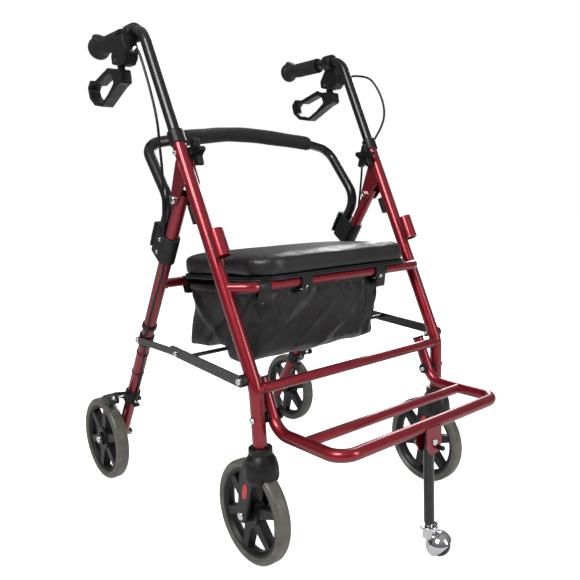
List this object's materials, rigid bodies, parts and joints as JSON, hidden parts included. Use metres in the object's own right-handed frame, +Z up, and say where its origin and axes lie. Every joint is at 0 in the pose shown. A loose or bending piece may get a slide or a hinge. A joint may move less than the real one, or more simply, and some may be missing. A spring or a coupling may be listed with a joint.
{
  "type": "rollator walker",
  "caption": "Folding wheeled walker with padded seat, backrest, tote bag, brake levers, fold-up footrest and a drop-down support leg with a ball caster.",
  "frame": {"origin": "on the ground, on the centre plane, at the middle of the bounding box between the ball caster in front and the rear wheels behind", "axes": "+X to the walker left side, front of the walker towards -Y, +Z up"},
  "size_m": [0.592, 0.8855, 0.9905],
  "materials": {
    "red_paint": "glossy metallic",
    "black_paint": "gloss",
    "black_plastic": "fine grain",
    "grip_rubber": "matte ribbed",
    "foam": "soft matte foam",
    "vinyl": "semi-gloss vinyl",
    "nylon": "coated woven nylon",
    "grey_tyre": "warm grey rubber",
    "black_rubber": "smooth",
    "chrome": "polished",
    "steel": "bright zinc"
  },
  "bodies": {
    "front_frame": {"front_frame": "red_paint", "socket_collars": "black_plastic", "stop_bumpers": "grip_rubber", "frame_bolts": "chrome", "footrest_spacers": "black_plastic", "caster_cups": "black_plastic", "caster_stems": "steel", "caster_bearings": "steel", "bag": "nylon"},
    "rear_frame": {"rear_frame": "red_paint", "rear_axles": "chrome", "link_clamps": "black_plastic", "backrest_receivers": "black_plastic", "rear_screws": "chrome", "brake_brackets": "black_plastic", "brake_springs": "steel"},
    "front_links": {"front_links": "black_paint", "cross_rod": "black_paint"},
    "rear_links": {"rear_links": "black_paint", "link_bolts": "chrome"},
    "seat": {"seat_board": "black_plastic", "seat_cushion": "vinyl", "seat_clamps": "black_plastic", "seat_screws": "chrome"},
    "backrest": {"backrest_tube": "black_paint", "backrest_pad": "foam"},
    "release_levers": {"release_levers": "black_plastic"},
    "footrest": {"footrest_frame": "red_paint", "footrest_end_caps": "black_plastic", "support_bolt": "chrome"},
    "lock_pin": {"lock_pin": "black_plastic"},
    "support_leg": {"support_leg": "black_paint"},
    "ball_caster": {"caster_horn": "chrome"},
    "ball_wheel": {"ball_wheel": "black_rubber"},
    "handle_left": {"handle_tube_left": "black_paint", "grip_left": "grip_rubber", "brake_housing_left": "black_plastic", "brake_hardware_left": "chrome"},
    "brake_lever_left": {"brake_lever_left": "black_plastic"},
    "height_knob_left": {"height_knob_left": "black_plastic"},
    "brake_shoe_left": {"brake_shoe_left": "black_plastic"},
    "rear_wheel_left": {"rear_rim_left": "black_plastic", "rear_tyre_left": "grey_tyre"},
    "caster_left": {"fork_left": "black_plastic", "fork_axle_left": "chrome"},
    "front_wheel_left": {"front_rim_left": "black_plastic", "front_tyre_left": "grey_tyre"},
    "handle_right": {"handle_tube_right": "black_paint", "grip_right": "grip_rubber", "brake_housing_right": "black_plastic", "brake_hardware_right": "chrome"},
    "brake_lever_right": {"brake_lever_right": "black_plastic"},
    "height_knob_right": {"height_knob_right": "black_plastic"},
    "brake_shoe_right": {"brake_shoe_right": "black_plastic"},
    "rear_wheel_right": {"rear_rim_right": "black_plastic", "rear_tyre_right": "grey_tyre"},
    "caster_right": {"fork_right": "black_plastic", "fork_axle_right": "chrome"},
    "front_wheel_right": {"front_rim_right": "black_plastic", "front_tyre_right": "grey_tyre"}
  },
  "joints": [
    {"name": "handle_height_left", "type": "slide", "parent": "front_frame", "child": "handle_left", "axis": [0.02, 0.4224, 0.9062], "range_m": [-0.075, 0]},
    {"name": "brake_squeeze_left", "type": "hinge", "parent": "handle_left", "child": "brake_lever_left", "pos_m": [0.273, 0.134, 0.917], "axis": [1, 0, 0], "range_deg": [0, 12]},
    {"name": "knob_turn_left", "type": "hinge", "parent": "front_frame", "child": "height_knob_left", "pos_m": [0.221, -0.03865, 0.732], "axis": [1, 0, 0], "range_deg": [0, 360]},
    {"name": "rear_wheel_spin_left", "type": "hinge", "parent": "rear_frame", "child": "rear_wheel_left", "pos_m": [0.274, 0.348, 0.095], "axis": [1, 0, 0], "continuous": true},
    {"name": "caster_swivel_left", "type": "hinge", "parent": "front_frame", "child": "caster_left", "pos_m": [0.237, -0.228, 0.2], "axis": [0, 0, 1], "continuous": true},
    {"name": "front_wheel_spin_left", "type": "hinge", "parent": "caster_left", "child": "front_wheel_left", "pos_m": [0.237, -0.198, 0.095], "axis": [1, 0, 0], "continuous": true},
    {"name": "brake_shoe_left", "type": "hinge", "parent": "rear_frame", "child": "brake_shoe_left", "pos_m": [0.27, 0.259, 0.214], "axis": [1, 0, 0], "range_deg": [-1.6, 0]},
    {"name": "handle_height_right", "type": "slide", "parent": "front_frame", "child": "handle_right", "axis": [-0.02, 0.4224, 0.9062], "range_m": [-0.075, 0]},
    {"name": "brake_squeeze_right", "type": "hinge", "parent": "handle_right", "child": "brake_lever_right", "pos_m": [-0.273, 0.134, 0.917], "axis": [1, 0, 0], "range_deg": [0, 12]},
    {"name": "knob_turn_right", "type": "hinge", "parent": "front_frame", "child": "height_knob_right", "pos_m": [-0.221, -0.03865, 0.732], "axis": [1, 0, 0], "range_deg": [0, 360]},
    {"name": "rear_wheel_spin_right", "type": "hinge", "parent": "rear_frame", "child": "rear_wheel_right", "pos_m": [-0.274, 0.348, 0.095], "axis": [1, 0, 0], "continuous": true},
    {"name": "caster_swivel_right", "type": "hinge", "parent": "front_frame", "child": "caster_right", "pos_m": [-0.237, -0.228, 0.2], "axis": [0, 0, 1], "continuous": true},
    {"name": "front_wheel_spin_right", "type": "hinge", "parent": "caster_right", "child": "front_wheel_right", "pos_m": [-0.237, -0.198, 0.095], "axis": [1, 0, 0], "continuous": true},
    {"name": "brake_shoe_right", "type": "hinge", "parent": "rear_frame", "child": "brake_shoe_right", "pos_m": [-0.27, 0.259, 0.214], "axis": [1, 0, 0], "range_deg": [-1.6, 0]},
    {"name": "frame_fold", "type": "hinge", "parent": "front_frame", "child": "rear_frame", "pos_m": [0, -0.0234, 0.6476], "axis": [1, 0, 0], "range_deg": [-36, 0], "deforming": ["bag"]},
    {"name": "front_link_turn", "type": "hinge", "parent": "front_frame", "child": "front_links", "pos_m": [0, -0.2129, 0.3418], "axis": [1, 0, 0], "range_deg": [-0.1, 32.05]},
    {"name": "knee_turn", "type": "hinge", "parent": "front_links", "child": "rear_links", "pos_m": [0, 0.0019, 0.3539], "axis": [1, 0, 0], "range_deg": [-122.1, 0.1]},
    {"name": "seat_flip", "type": "hinge", "parent": "front_frame", "child": "seat", "pos_m": [0, -0.188, 0.4934], "axis": [1, 0, 0], "range_deg": [0, 85]},
    {"name": "backrest_lift", "type": "slide", "parent": "rear_frame", "child": "backrest", "axis": [0, -0.5578, 0.83], "range_m": [0, 0.04]},
    {"name": "release_press", "type": "hinge", "parent": "rear_frame", "child": "release_levers", "pos_m": [0, 0.09781, 0.56316], "axis": [1, 0, 0], "range_deg": [-30, 0]},
    {"name": "footrest_fold", "type": "hinge", "parent": "front_frame", "child": "footrest", "pos_m": [0, -0.229, 0.2732], "axis": [1, 0, 0], "range_deg": [-80, 0]},
    {"name": "lock_pin_pull", "type": "slide", "parent": "footrest", "child": "lock_pin", "axis": [0, -1, 0], "range_m": [0, 0.01]},
    {"name": "support_leg_swing", "type": "hinge", "parent": "footrest", "child": "support_leg", "pos_m": [0, -0.4046, 0.216], "axis": [0, 1, 0], "range_deg": [0, 80]},
    {"name": "ball_caster_swivel", "type": "hinge", "parent": "support_leg", "child": "ball_caster", "pos_m": [0, -0.4046, 0.06], "axis": [0, 0, 1], "continuous": true},
    {"name": "ball_wheel_spin", "type": "hinge", "parent": "ball_caster", "child": "ball_wheel", "pos_m": [0.01083, -0.41898, 0.02], "axis": [0.7986, 0.6018, 0], "continuous": true}
  ],
  "couplings": [
    {"joint": "front_link_turn", "follows": "frame_fold", "ratio": -0.88747},
    {"joint": "knee_turn", "follows": "frame_fold", "ratio": 3.3888},
    {"joint": "brake_shoe_left", "follows": "brake_squeeze_left", "ratio": -0.13333},
    {"joint": "brake_shoe_right", "follows": "brake_squeeze_right", "ratio": -0.13333}
  ]
}
